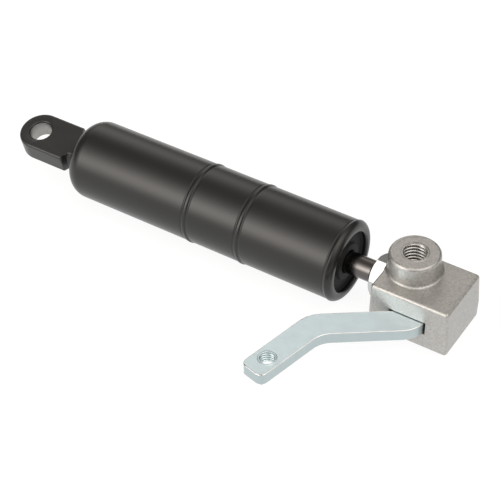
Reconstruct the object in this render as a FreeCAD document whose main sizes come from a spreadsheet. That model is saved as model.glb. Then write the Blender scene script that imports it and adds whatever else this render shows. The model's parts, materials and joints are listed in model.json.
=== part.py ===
import FreeCAD, Part
import math
import os
import re

import Sketcher

# Lockable lift support: a gas spring with an eye at its closed end and a release head on its rod.
# Millimetres. The origin is the centre of the eye's bore, +X runs along the spring to the head,
# and +Z is the axis of the head's threaded boss.

# Driving sizes
SIZES = {
    # Mounting eye
    "eye_bore_radius": (5.2, "radius of the hole for the mounting bolt"),
    "eye_radius": (10.3, "radius of the eye's round end, half the width of its plate"),
    "eye_thickness": (10.0, "thickness of the eye's plate"),
    "eye_roll": (12.2, "degrees that the eye is rolled from square with the head's boss"),
    "eye_neck": (7.2, "length between the plate's shoulder and the tube"),
    "eye_cone_length": (2.3, "length of the cone behind the plate's shoulder"),
    "eye_cone_radius": (11.3, "radius of that cone where it begins"),
    "eye_edge_round": (1.2, "rounding of the plate's edges"),
    "eye_bore_chamfer": (0.8, "chamfer at both ends of the bore"),
    "spigot_radius": (5.4, "spigot that goes through the tube's bottom"),
    "spigot_foot_radius": (7.2, "radius of the eye's neck, which stands on the tube's bottom"),
    # Pressure tube
    "tube_start": (25.3, "bore centre to the outside of the tube's bottom"),
    "tube_length": (143.2, "length of the tube over its bottom and its rolled lip"),
    "tube_radius": (18.5, "outside radius of the tube"),
    "tube_wall": (2.0, "wall of the tube"),
    "bottom_wall": (2.5, "thickness of the tube's bottom"),
    "shoulder_radius": (8.6, "outside radius of the round shoulder at the closed end"),
    "bottom_face_radius": (9.9, "radius of the tube's flat bottom"),
    "bead_width": (3.5, "width of each raised bead"),
    "bead_height": (0.35, "height of each raised bead"),
    "piston_bead_x": (93.3, "eye's bore centre to the bead over the piston's stop ring"),
    "bead_spacing": (27.6, "from there to the bead over the separating piston's stop ring"),
    "rim_swell": (0.4, "how far the mouth's rim stands out of the tube"),
    "rim_length": (5.0, "length of the swelling behind the mouth"),
    "rim_round": (3.1, "outside radius of the rolled lip"),
    "lip_wall": (2.0, "thickness of the rolled lip along the axis"),
    "lip_flat": (0.8, "width of the flat ring on the lip's face"),
    "lip_lead": (0.5, "small chamfer at the lip's inner edge"),
    "lip_bevel": (1.0, "how far the lip's inner edge lies inside its flat ring"),
    # Rings in the tube
    "ring_width": (2.4, "width of the snap rings and of their grooves"),
    "ring_groove": (0.6, "depth of the snap rings' grooves in the tube"),
    "ring_section": (2.6, "radial section of the snap rings"),
    "ring_gap": (7.0, "gap between the ends of a snap ring"),
    # Rod, guide and seals
    "rod_radius": (5.0, "radius of the piston rod and of its end thread"),
    "rod_reach": (12.85, "length of rod that shows between the tube's mouth and the nut"),
    "rod_engagement": (12.65, "length of the rod's end in the head"),
    "slide_gap": (0.05, "radial clearance where a round piece slides or turns"),
    "disc_wall": (1.5, "thickness of the end disc"),
    "disc_gap": (0.4, "radial gap between the rod and the end disc"),
    "disc_hub_height": (0.7, "height of the raised hub on the end disc"),
    "disc_hub_radius": (8.6, "radius of that hub"),
    "disc_rim_radius": (11.6, "inner radius of the disc's raised rim"),
    "guide_length": (13.5, "length of the rod guide"),
    "bearing_wall": (1.3, "wall of the guide's bearing sleeve"),
    "bearing_inset": (0.5, "distance of the bearing sleeve from the guide's ends"),
    "seal_washer_wall": (1.5, "thickness of the washer between seal and guide"),
    "seal_length": (6.0, "length of the rod seal"),
    "seal_lip_depth": (3.2, "depth of the hollow between the seal's lips"),
    "seal_lip_wall": (1.6, "thickness of the seal's lips"),
    "cord_radius": (1.5, "half the height of the large round seals, pressed into their grooves"),
    "cord_flat": (1.3, "width of the flats where such a seal is pressed against its walls"),
    # Separating piston
    "separator_length": (16.0, "length of the separating piston"),
    "separator_rest_gap": (0.6, "gap from the separating piston to its stop ring"),
    # Piston and valve
    "piston_rest": (5.6, "gap from the tube's shoulder to the piston's full diameter"),
    "piston_length": (10.5, "length of the piston's full diameter"),
    "piston_gap": (0.2, "radial gap between piston and tube"),
    "piston_nose_radius": (8.0, "radius of the piston's nose"),
    "piston_nose_length": (6.5, "length of the piston's nose"),
    "piston_ring_width": (2.8, "width of the piston ring"),
    "piston_ring_section": (2.5, "radial section of the piston ring"),
    "piston_ring_play": (0.1, "play of the piston ring in its groove"),
    "valve_bore_radius": (4.2, "bore of the piston round the valve and the rod's end"),
    "valve_seat_wall": (1.5, "thickness of the nose's end wall, which is the valve's seat"),
    "valve_seat_radius": (2.6, "hole in the valve's seat"),
    "valve_ring_width": (2.0, "width of the seals round the tappet"),
    "valve_spacer_length": (4.5, "length of the ported spacer between those seals"),
    "valve_washer_wall": (1.0, "thickness of the washer between outer seal and rod"),
    "tappet_radius": (2.0, "radius of the tappet's stem and of the release pin"),
    "tappet_neck_radius": (1.3, "radius of the tappet's neck"),
    "tappet_head_radius": (3.4, "radius of the tappet's head"),
    "tappet_head_length": (1.6, "length of the cylindrical part of the tappet's head"),
    "port_radius": (0.8, "radius of the long oil port"),
    "cross_port_radius": (0.6, "radius of the cross ports in piston and spacer"),
    "port_wall": (0.4, "from the rod's surface to the long oil port"),
    # Nut
    "nut_flats": (17.0, "width across the nut's flats"),
    "nut_width": (6.0, "thickness of the nut"),
    "nut_roll": (39.5, "degrees from +Y to the nut's first corner"),
    "nut_face_inset": (0.3, "how far the round face lies inside the nut's flats"),
    "nut_chamfer": (0.9, "depth of the nut's chamfer along the axis"),
    # Release head
    "head_length": (37.3, "length of the head along the rod at the parting line"),
    "head_front": (18.4, "rod's axis to the head's front face, where the lever comes out"),
    "head_back": (11.7, "rod's axis to the head's back face at the parting line"),
    "head_top": (11.2, "rod's axis to the head's top face"),
    "head_bottom": (12.6, "rod's axis to the head's bottom face"),
    "parting_drop": (3.5, "rod's axis down to the casting's parting line"),
    "head_draft": (2.0, "draft of the head's side walls in degrees"),
    "head_edge_round": (1.5, "rounding of the head's edges"),
    "boss_setback": (0.0, "head's near face to the near side of its boss"),
    "boss_top": (20.75, "rod's axis to the machined face on the boss"),
    "boss_base_radius": (11.55, "radius of the boss at its foot"),
    "boss_lean": (0.35, "how much narrower the boss is below its rounded rim"),
    "boss_foot_round": (1.3, "concave rounding at the boss's foot"),
    "boss_rim_round": (1.6, "rounding of the boss's rim"),
    "boss_face_margin": (1.5, "how much smaller than the boss's rim its machined face is"),
    "boss_face_shift": (0.5, "how far that face is off the boss's axis, along the rod"),
    "boss_face_step": (0.15, "depth of the machined face in the boss's end"),
    "boss_thread_radius": (6.0, "radius of the thread in the boss"),
    "boss_thread_depth": (12.5, "depth of the threaded hole"),
    "boss_thread_lead": (0.15, "chamfer at the thread's mouth"),
    "slot_side_gap": (0.4, "gap above and below the lever in the slot"),
    "hub_side_gap": (0.25, "gap from the lever's hub to the slot's near end"),
    "heel_gap": (0.4, "gap from the lever's heel to the slot's far end"),
    "slot_level": (-0.85, "height of the slot's and the lever's middle above the rod's axis"),
    "slot_reach": (5.2, "how far the slot goes past the rod's axis"),
    "slot_corner_round": (1.5, "rounding of the slot's inner corners"),
    "thread_bore_slack": (0.2, "free length of the rod's hole past the rod's end"),
    # Lever and its pivot
    "pivot_x": (18.25, "head's near face to the lever's pivot"),
    "pivot_inset": (5.0, "head's front face to the lever's pivot"),
    "pivot_radius": (2.5, "radius of the pivot pin"),
    "pivot_rise": (7.0, "rod's axis to the top of the pivot pin"),
    "pivot_recess": (0.3, "how far the pin's end lies inside the head's underside"),
    "lever_thickness": (5.6, "thickness of the lever"),
    "lever_width": (12.0, "width of the lever's arms"),
    "hub_gap": (0.05, "gap from the lever's hub to the line of the rod's surface"),
    "lever_hole_back": (36.9, "pivot to the tapped hole, back along the rod"),
    "lever_hole_out": (54.6, "pivot to the tapped hole, away from the rod"),
    "lever_hole_radius": (4.0, "radius of the tapped hole"),
    "lever_hole_lead": (0.15, "chamfer at the tapped hole's ends"),
    "lever_end_margin": (9.4, "tapped hole to the lever's end"),
    "lever_arm_angle": (76.5, "degrees from the rod's direction to the outer arm"),
    "lever_root_angle": (34.4, "degrees from the rod's direction to the inner arm"),
    "lever_root_inset": (0.1, "pivot to the inner arm's edge on the head's side"),
    "lever_heel_reach": (8.3, "pivot to the lever's heel along the rod"),
    "lever_heel_round": (14.0, "radius of the heel's round side"),
    "lever_nose_reach": (1.25, "pivot to the lever's nose face, back along the rod"),
    "lever_nose_past": (3.2, "how far the nose goes past the rod's axis"),
    "lever_nose_round": (1.5, "rounding of the nose's corners"),
    "lever_bend_round": (5.0, "rounding of the lever's bend"),
    "lever_end_round": (2.2, "rounding of the lever's free corners"),
    "nose_gap": (0.05, "gap from the lever's nose to the release pin"),
}

# Places and sizes that follow from the driving ones
FORMULAS = {
    "bore_radius": "tube_radius - tube_wall",
    "tube_end": "tube_start + tube_length",
    "inner_bottom": "tube_start + bottom_wall",
    "eye_reach": "tube_start - eye_neck",
    "shoulder_lift": "tube_radius - shoulder_radius",
    "shoulder_length": "sqrt(shoulder_radius ^ 2 - (bottom_face_radius - shoulder_lift) ^ 2)",
    "shoulder_end": "tube_start + shoulder_length",
    "inner_shoulder_radius": "shoulder_radius - tube_wall",
    "inner_shoulder_length": "shoulder_end - inner_bottom",
    "inner_foot": "shoulder_lift + sqrt(inner_shoulder_radius ^ 2 - inner_shoulder_length ^ 2)",
    "bead_round": "(bead_width ^ 2 / 4 + bead_height ^ 2) / (2 * bead_height)",
    "separator_bead_x": "piston_bead_x + bead_spacing",
    "lip_inside": "tube_end - lip_wall",
    "lip_face_radius": "tube_radius + rim_swell - rim_round",
    "mouth_radius": "lip_face_radius - lip_flat - lip_bevel",
    "fit_radius": "bore_radius - slide_gap",
    "groove_radius": "bore_radius + ring_groove",
    "guide_start": "lip_inside - disc_wall - guide_length",
    "washer_start": "guide_start - seal_washer_wall",
    "seal_start": "washer_start - seal_length",
    "guide_ring_start": "seal_start - ring_width",
    "separator_ring_start": "separator_bead_x - ring_width / 2",
    "piston_stop_start": "piston_bead_x - ring_width / 2",
    "separator_end": "separator_ring_start - separator_rest_gap",
    "separator_start": "separator_end - separator_length",
    "cord_groove_depth": "2 * cord_radius",
    "cord_groove_width": "2.4 * cord_radius",
    "rod_slide_radius": "rod_radius + slide_gap",
    "rod_bore_radius": "tappet_radius + slide_gap",
    "piston_x": "shoulder_end + piston_rest",
    "piston_radius": "bore_radius - piston_gap",
    "piston_end": "piston_x + piston_length",
    "nose_start": "piston_x - piston_nose_length",
    "seat_end": "nose_start + valve_seat_wall",
    "inner_seal_end": "seat_end + valve_ring_width",
    "spacer_end": "inner_seal_end + valve_spacer_length",
    "outer_seal_end": "spacer_end + valve_ring_width",
    "rod_start": "outer_seal_end + valve_washer_wall",
    "spacer_middle": "(inner_seal_end + spacer_end) / 2",
    "port_offset": "rod_radius + port_wall + port_radius",
    "piston_ring_x": "piston_x + piston_length / 2",
    "ring_groove_floor": "fit_radius - piston_ring_section - piston_ring_play",
    "tappet_end": "rod_start + 1",
    "nut_start": "tube_end + rod_reach",
    "nut_corner_radius": "nut_flats / sqrt(3)",
    "nut_face_radius": "nut_flats / 2 - nut_face_inset",
    "head_start": "nut_start + nut_width",
    "head_end": "head_start + head_length",
    "rod_end_x": "head_start + rod_engagement",
    "boss_axis_x": "head_start + boss_setback + boss_base_radius",
    "foot_top": "head_top + boss_foot_round",
    "boss_rim_radius": "boss_base_radius - boss_lean",
    "boss_end": "boss_top + boss_face_step",
    "boss_face_radius": "boss_rim_radius - boss_face_margin",
    "pivot_place_x": "head_start + pivot_x",
    "pivot_place_y": "pivot_inset - head_front",
    "lever_hub_radius": "head_front - pivot_inset - rod_radius - hub_gap",
    "half_width": "lever_width / 2",
    "lever_root_offset": "half_width + lever_root_inset",
    "arm_run": "(pivot_inset - lever_root_inset / cos(lever_root_angle)) / tan(lever_root_angle)",
    "slot_near": "pivot_place_x - max(lever_hub_radius; arm_run) - hub_side_gap",
    "slot_far": "pivot_place_x + lever_heel_reach + heel_gap",
    "slot_height": "lever_thickness + 2 * slot_side_gap",
    "nose_face_x": "pivot_place_x - lever_nose_reach",
    "pin_tip_x": "nose_face_x - nose_gap",
    "hole_place_x": "pivot_place_x - lever_hole_back",
    "hole_place_y": "pivot_place_y - lever_hole_out",
}

WORD = re.compile(r"[a-z][a-z_]*[a-z]")


def formula(text):
    """Write a formula of named sizes as an expression on the sheet."""
    def replace(match):
        word = match.group(0)
        if word in FORMULAS:
            return "(" + formula(FORMULAS[word]) + ")"
        if word in SIZES:
            return "sizes." + word
        return word

    return WORD.sub(replace, str(text))


doc = FreeCAD.newDocument("lift_support")
sheet = doc.addObject("Spreadsheet::Sheet", "sizes")
for row, (alias, (number, note)) in enumerate(SIZES.items(), start=1):
    sheet.set(f"A{row}", note)
    sheet.set(f"B{row}", str(number))
    sheet.setAlias(f"B{row}", alias)
doc.recompute()


def value(text):
    """The present number of a formula, in millimetres or degrees."""
    result = sheet.evalExpression(formula(text))
    return float(getattr(result, "Value", result))


def new_body(name):
    """Start one piece of the product."""
    body = doc.addObject("PartDesign::Body", name)
    body.Label = name
    return body


def new_sketch(body, name, plane, offset=None):
    """Add a sketch on an origin plane of the body, moved by an offset in the plane's own axes."""
    sketch = body.newObject("Sketcher::SketchObject", name)
    planes = {feature.Role: feature for feature in body.Origin.OriginFeatures}
    sketch.AttachmentSupport = (planes[plane], [""])
    sketch.MapMode = "FlatFace"
    for axis, text in (offset or {}).items():
        sketch.setExpression(f"AttachmentOffset.Base.{axis}", formula(text))
    return sketch


def arc_between(start, end, radius, side):
    """The short arc from start to end whose centre lies left (1) or right (-1) of the chord."""
    chord = end - start
    half = chord.Length / 2
    rise = math.sqrt(max(radius ** 2 - half ** 2, 0))
    across = FreeCAD.Vector(-chord.y, chord.x, 0).normalize()
    centre = (start + end) * 0.5 + across * rise * side
    angles = [math.atan2(point.y - centre.y, point.x - centre.x) for point in (start, end)]
    if side < 0:
        angles.reverse()
    circle = Part.Circle(centre, FreeCAD.Vector(0, 0, 1), radius)
    return Part.ArcOfCircle(circle, angles[0], angles[1])


def bind(sketch, kind, place, text):
    """Add one constraint and bind its number to the sheet."""
    index = sketch.addConstraint(Sketcher.Constraint(kind, *place, value(text)))
    sketch.setExpression(f"Constraints[{index}]", formula(text))


def draw_outline(sketch, corners, arcs=None, half_circles=None):
    """Draw a closed outline.

    Arcs maps an edge's number to its radius and its centre's side. A half circle has both ends
    on its diameter, so half_circles gives its centre's place along the sketch's x axis instead.
    """
    arcs = arcs or {}
    half_circles = half_circles or {}
    points = [FreeCAD.Vector(value(x), value(y), 0) for x, y in corners]
    first = sketch.GeometryCount
    ends = []
    for number, start in enumerate(points):
        end = points[(number + 1) % len(points)]
        if number in arcs:
            radius, side = arcs[number]
            sketch.addGeometry(arc_between(start, end, value(radius), side), False)
            ends.append((1, 2) if side > 0 else (2, 1))
        else:
            sketch.addGeometry(Part.LineSegment(start, end), False)
            ends.append((1, 2))
    for number in range(len(points)):
        after = (number + 1) % len(points)
        link = (first + number, ends[number][1], first + after, ends[after][0])
        sketch.addConstraint(Sketcher.Constraint("Coincident", *link))
    for number, (x, y) in enumerate(corners):
        bind(sketch, "DistanceX", (-1, 1, first + number, ends[number][0]), x)
        bind(sketch, "DistanceY", (-1, 1, first + number, ends[number][0]), y)
    for number, (radius, side) in arcs.items():
        if number in half_circles:
            bind(sketch, "DistanceX", (-1, 1, first + number, 3), half_circles[number])
        else:
            bind(sketch, "Radius", (first + number,), radius)


def draw_circle(sketch, x, y, radius):
    """Draw a circle whose centre and radius are bound to the sheet."""
    circle = Part.Circle(FreeCAD.Vector(value(x), value(y), 0), FreeCAD.Vector(0, 0, 1), value(radius))
    index = sketch.addGeometry(circle, False)
    bind(sketch, "DistanceX", (-1, 1, index, 3), x)
    bind(sketch, "DistanceY", (-1, 1, index, 3), y)
    bind(sketch, "Radius", (index,), radius)


def turn(body, name, corners, arcs=None, kind="Revolution", plane="XY_Plane", offset=None, axis="H_Axis"):
    """Revolve an outline of (place along the axis, radius) corners, as a solid or as a groove."""
    sketch = new_sketch(body, name + "_outline", plane, offset)
    draw_outline(sketch, corners, arcs)
    feature = body.newObject("PartDesign::" + kind, name)
    feature.Profile = sketch
    feature.ReferenceAxis = (sketch, [axis])
    feature.Angle = 360
    sketch.Visibility = False
    return feature


def pad(body, name, sketch, length, side="One side", reverse=False):
    """Pad a sketch by a length bound to the sheet."""
    feature = body.newObject("PartDesign::Pad", name)
    feature.Profile = sketch
    feature.SideType = side
    feature.Reversed = reverse
    feature.setExpression("Length", formula(length))
    return feature


def pocket(body, name, sketch, length=None, side="One side", reverse=False):
    """Cut a sketch out of the body, to a length or right through, and check that it cut."""
    before = body.Tip.Shape.Volume
    feature = body.newObject("PartDesign::Pocket", name)
    feature.Profile = sketch
    feature.SideType = side
    feature.Reversed = reverse
    if length is None:
        feature.Type = "ThroughAll"
    else:
        feature.setExpression("Length", formula(length))
    doc.recompute()
    if feature.Shape.Volume >= before:
        raise RuntimeError(name + " cuts nothing")
    return feature


def edges_where(shape, test):
    """The names of the edges whose middle point and geometry pass a test."""
    names = []
    for number, edge in enumerate(shape.Edges, start=1):
        middle = edge.valueAt((edge.FirstParameter + edge.LastParameter) / 2)
        if test(edge, middle):
            names.append(f"Edge{number}")
    return names


def dress(body, kind, name, test, size):
    """Fillet or chamfer the edges of the body's last feature that pass a test."""
    doc.recompute()
    base = body.Tip
    names = edges_where(base.Shape, test)
    if not names:
        raise RuntimeError(name + " finds no edge")
    feature = body.newObject("PartDesign::" + kind, name)
    feature.Base = (base, names)
    feature.setExpression("Radius" if kind == "Fillet" else "Size", formula(size))
    doc.recompute()
    return feature


def near(a, b):
    """Whether two lengths agree within a hundredth of a millimetre."""
    return abs(a - b) < 0.01


def is_line_along(edge, axis):
    """Whether an edge is a straight line along x, y or z."""
    if edge.Curve.TypeId != "Part::GeomLine":
        return False
    direction = edge.tangentAt(edge.FirstParameter)
    return abs(abs(getattr(direction, axis)) - 1) < 0.001


def plain_ring(name, start, end, inner, outer):
    """A turned ring of rectangular section."""
    body = new_body(name)
    corners = [(start, inner), (end, inner), (end, outer), (start, outer)]
    turn(body, name + "_ring", corners)
    return body


def pressed_seal(name, middle, centre_radius):
    """A round seal as it sits in its groove, pressed flat on its four sides."""
    body = new_body(name)
    half, flat = "cord_radius", "cord_flat / 2"
    steps = [("-", flat, "-", half), ("+", flat, "-", half), ("+", half, "-", flat), ("+", half, "+", flat),
             ("+", flat, "+", half), ("-", flat, "+", half), ("-", half, "+", flat), ("-", half, "-", flat)]
    turn(body, name + "_ring", [
        (f"{middle} {along} {run}", f"{centre_radius} {out} {rise}") for along, run, out, rise in steps
    ])
    return body


# Mounting eye: a forged flat eye, turned down to a spigot behind its shoulder
def make_mounting_eye():
    body = new_body("mounting_eye")
    sketch = new_sketch(body, "eye_plan", "XY_Plane")
    corners = [("0", "-eye_radius"), ("inner_bottom", "-eye_radius"),
               ("inner_bottom", "eye_radius"), ("0", "eye_radius")]
    draw_outline(sketch, corners, {3: ("eye_radius", 1)}, {3: "0"})
    pad(body, "eye_plate", sketch, "eye_thickness", "Symmetric")
    doc.recompute()

    def rim(edge, middle):
        level = near(abs(middle.z), value("eye_thickness") / 2)
        return level and not near(middle.x, value("inner_bottom"))

    dress(body, "Fillet", "eye_edges", rim, "eye_edge_round")
    reach = "eye_radius + eye_thickness"
    turn(body, "eye_spigot", [
        ("eye_reach", reach), ("eye_reach", "eye_cone_radius"),
        ("eye_reach + eye_cone_length", "spigot_foot_radius"), ("tube_start", "spigot_foot_radius"),
        ("tube_start", "spigot_radius"), ("inner_bottom + 1", "spigot_radius"), ("inner_bottom + 1", reach),
    ], kind="Groove")
    doc.recompute()
    hole = new_sketch(body, "eye_bore_plan", "XY_Plane")
    draw_circle(hole, "0", "0", "eye_bore_radius")
    pocket(body, "eye_bore", hole, side="Symmetric")

    def bore_rim(edge, middle):
        level = near(abs(middle.z), value("eye_thickness") / 2)
        return level and near(math.hypot(middle.x, middle.y), value("eye_bore_radius"))

    dress(body, "Chamfer", "eye_bore_lead", bore_rim, "eye_bore_chamfer")
    body.setExpression("Placement.Rotation.Axis.x", "1")
    body.setExpression("Placement.Rotation.Axis.z", "0")
    body.setExpression("Placement.Rotation.Angle", formula("eye_roll"))
    return body


# Pressure tube: drawn from one piece, with its mouth rolled in over the end disc
def make_pressure_tube():
    body = new_body("pressure_tube")
    half = "bead_width / 2"
    corners = [
        ("tube_start", "spigot_radius"),
        ("tube_start", "bottom_face_radius"),
        ("shoulder_end", "tube_radius"),
        ("piston_bead_x - " + half, "tube_radius"),
        ("piston_bead_x + " + half, "tube_radius"),
        ("separator_bead_x - " + half, "tube_radius"),
        ("separator_bead_x + " + half, "tube_radius"),
        ("tube_end - rim_length", "tube_radius"),
        ("tube_end - rim_round", "tube_radius + rim_swell"),
        ("tube_end", "lip_face_radius"),
        ("tube_end", "lip_face_radius - lip_flat"),
        ("tube_end - lip_lead", "mouth_radius"),
        ("lip_inside", "mouth_radius"),
        ("lip_inside", "bore_radius"),
    ]
    arcs = {1: ("shoulder_radius", -1), 3: ("bead_round", -1), 5: ("bead_round", -1), 8: ("rim_round", -1)}
    for start in ("guide_ring_start", "separator_ring_start", "piston_stop_start"):
        corners += [(start + " + ring_width", "bore_radius"), (start + " + ring_width", "groove_radius"),
                    (start, "groove_radius"), (start, "bore_radius")]
    corners += [("shoulder_end", "bore_radius"), ("inner_bottom", "inner_foot"),
                ("inner_bottom", "spigot_radius")]
    arcs[len(corners) - 3] = ("inner_shoulder_radius", 1)
    turn(body, "tube_wall_turn", corners, arcs)
    return body


# Snap rings: flat rings with a gap, sprung into the tube's grooves
def make_snap_ring(name, start):
    body = plain_ring(name, start, start + " + ring_width", "groove_radius - ring_section", "groove_radius")
    doc.recompute()
    gap = new_sketch(body, name + "_gap_plan", "XY_Plane")
    edge = "ring_gap / 2"
    draw_outline(gap, [(start + " - 1", "-" + edge), (start + " + ring_width + 1", "-" + edge),
                       (start + " + ring_width + 1", edge), (start + " - 1", edge)])
    pocket(body, name + "_gap", gap, "tube_radius", reverse=True)
    return body


# Guide, bearing and seals at the tube's mouth
def make_rod_guide():
    body = new_body("rod_guide")
    middle = "(guide_start + guide_length / 2)"
    low = middle + " - cord_groove_width / 2"
    high = middle + " + cord_groove_width / 2"
    floor = "fit_radius - cord_groove_depth"
    bore = "rod_slide_radius + bearing_wall"
    end = "guide_start + guide_length"
    turn(body, "guide_turn", [
        ("guide_start", bore), (end, bore), (end, "fit_radius"), (high, "fit_radius"), (high, floor),
        (low, floor), (low, "fit_radius"), ("guide_start", "fit_radius"),
    ])
    return body


def make_rod_seal():
    body = new_body("rod_seal")
    hollow = "seal_start + seal_lip_depth"
    lip = "seal_lip_wall"
    turn(body, "seal_turn", [
        ("seal_start", "rod_slide_radius"), ("washer_start", "rod_slide_radius"),
        ("washer_start", "fit_radius"), ("seal_start", "fit_radius"),
        ("seal_start", f"fit_radius - {lip}"), (hollow, f"fit_radius - 1.5 * {lip}"),
        (hollow, f"rod_slide_radius + 1.5 * {lip}"), ("seal_start", f"rod_slide_radius + {lip}"),
    ])
    return body


def make_end_disc():
    body = new_body("end_disc")
    back = "lip_inside - disc_wall"
    step = "disc_hub_height"
    valley = f"lip_inside - {step}"
    bore = "rod_radius + disc_gap"
    turn(body, "disc_turn", [
        (back, bore), (f"lip_inside + {step}", bore), (f"lip_inside + {step}", f"disc_hub_radius - {step}"),
        (valley, "disc_hub_radius"), (valley, "disc_rim_radius"), ("lip_inside", f"disc_rim_radius + {step}"),
        ("lip_inside", "fit_radius"), (back, "fit_radius"),
    ])
    return body


# Separating piston: floats on the rod between the oil and the gas
def make_separating_piston():
    body = new_body("separating_piston")
    middle = "(separator_start + separator_length / 2)"
    low = middle + " - cord_groove_width / 2"
    high = middle + " + cord_groove_width / 2"
    outer_floor = "fit_radius - cord_groove_depth"
    inner_floor = "rod_slide_radius + cord_groove_depth"
    turn(body, "separator_turn", [
        ("separator_start", "rod_slide_radius"), (low, "rod_slide_radius"), (low, inner_floor),
        (high, inner_floor), (high, "rod_slide_radius"), ("separator_end", "rod_slide_radius"),
        ("separator_end", "fit_radius"), (high, "fit_radius"), (high, outer_floor), (low, outer_floor),
        (low, "fit_radius"), ("separator_start", "fit_radius"),
    ])
    return body


# Piston: carries the piston ring outside and the release valve inside
def make_piston():
    body = new_body("piston")
    low = "piston_ring_x - piston_ring_width / 2 - piston_ring_play"
    high = "piston_ring_x + piston_ring_width / 2 + piston_ring_play"
    turn(body, "piston_turn", [
        ("nose_start", "valve_seat_radius"), ("seat_end", "valve_seat_radius"),
        ("seat_end", "valve_bore_radius"), ("piston_end", "valve_bore_radius"),
        ("piston_end", "piston_radius"), (high, "piston_radius"), (high, "ring_groove_floor"),
        (low, "ring_groove_floor"), (low, "piston_radius"), ("piston_x", "piston_radius"),
        ("piston_x", "piston_nose_radius"), ("nose_start", "piston_nose_radius"),
    ])
    doc.recompute()
    port_start = "spacer_middle - 2 * port_radius"
    long_port = new_sketch(body, "long_port_plan", "YZ_Plane", {"z": port_start})
    draw_circle(long_port, "0", "port_offset", "port_radius")
    pocket(body, "long_port", long_port, "piston_end - spacer_middle + 3 * port_radius", reverse=True)
    cross_port = new_sketch(body, "cross_port_plan", "XY_Plane")
    draw_circle(cross_port, "spacer_middle", "0", "cross_port_radius")
    pocket(body, "cross_port", cross_port, "port_offset", reverse=True)
    return body


def make_valve_spacer():
    body = new_body("valve_spacer")
    inner = "rod_bore_radius + 2 * slide_gap"
    turn(body, "spacer_turn", [
        ("inner_seal_end", inner), ("spacer_end", inner),
        ("spacer_end", "valve_bore_radius"), ("inner_seal_end", "valve_bore_radius"),
    ])
    doc.recompute()
    port = new_sketch(body, "spacer_port_plan", "XY_Plane")
    draw_circle(port, "spacer_middle", "0", "cross_port_radius")
    pocket(body, "spacer_port", port, side="Symmetric")
    return body


def make_valve_tappet():
    body = new_body("valve_tappet")
    head_end = "nose_start - slide_gap"
    cone = "(tappet_head_radius - tappet_radius)"
    neck_start = "inner_seal_end + valve_ring_width / 4"
    neck_end = "spacer_end - valve_ring_width / 4"
    slope = "(tappet_radius - tappet_neck_radius)"
    turn(body, "tappet_turn", [
        (head_end + " - tappet_head_length", "0"), ("tappet_end", "0"), ("tappet_end", "tappet_radius"),
        (neck_end, "tappet_radius"), (neck_end + " - " + slope, "tappet_neck_radius"),
        (neck_start + " + " + slope, "tappet_neck_radius"), (neck_start, "tappet_radius"),
        (head_end, "tappet_radius"), (head_end, "tappet_head_radius"),
        (head_end + " - tappet_head_length + " + cone + " / 2", "tappet_head_radius"),
        (head_end + " - tappet_head_length", "tappet_head_radius - " + cone + " / 2"),
    ])
    return body


# Hollow rod: reduced at its inner end for the piston
def make_piston_rod():
    body = new_body("piston_rod")
    turn(body, "rod_turn", [
        ("rod_start", "rod_bore_radius"), ("rod_end_x", "rod_bore_radius"),
        ("rod_end_x", "rod_radius"), ("piston_end", "rod_radius"),
        ("piston_end", "valve_bore_radius"), ("rod_start", "valve_bore_radius"),
    ])
    return body


# Release pin: runs through the rod, with a domed tip for the lever's nose
def make_release_pin():
    body = new_body("release_pin")
    turn(body, "pin_turn", [
        ("tappet_end", "0"), ("pin_tip_x", "0"), ("pin_tip_x - tappet_radius", "tappet_radius"),
        ("tappet_end", "tappet_radius"),
    ], {1: ("tappet_radius", 1)})
    return body


def make_lock_nut():
    body = new_body("lock_nut")
    sketch = new_sketch(body, "nut_plan", "YZ_Plane", {"z": "nut_start"})
    corners = []
    for corner in range(6):
        angle = f"(nut_roll + {corner} * 60)"
        corners.append((f"nut_corner_radius * cos{angle}", f"nut_corner_radius * sin{angle}"))
    draw_outline(sketch, corners)
    pad(body, "nut_hexagon", sketch, "nut_width")
    doc.recompute()
    out = "nut_corner_radius + 1"
    rise = "nut_chamfer * (nut_corner_radius + 1 - nut_face_radius) / (nut_corner_radius - nut_face_radius)"
    turn(body, "nut_chamfers_near", [
        ("nut_start", "nut_face_radius"), ("nut_start + " + rise, out), ("nut_start - 1", out),
        ("nut_start - 1", "nut_face_radius"),
    ], kind="Groove")
    turn(body, "nut_chamfers_far", [
        ("head_start", "nut_face_radius"), ("head_start + 1", "nut_face_radius"), ("head_start + 1", out),
        ("head_start - " + rise, out),
    ], kind="Groove")
    doc.recompute()
    hole = new_sketch(body, "nut_hole_plan", "YZ_Plane", {"z": "nut_start"})
    draw_circle(hole, "0", "0", "rod_radius")
    pocket(body, "nut_hole", hole, side="Symmetric")
    return body


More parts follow.
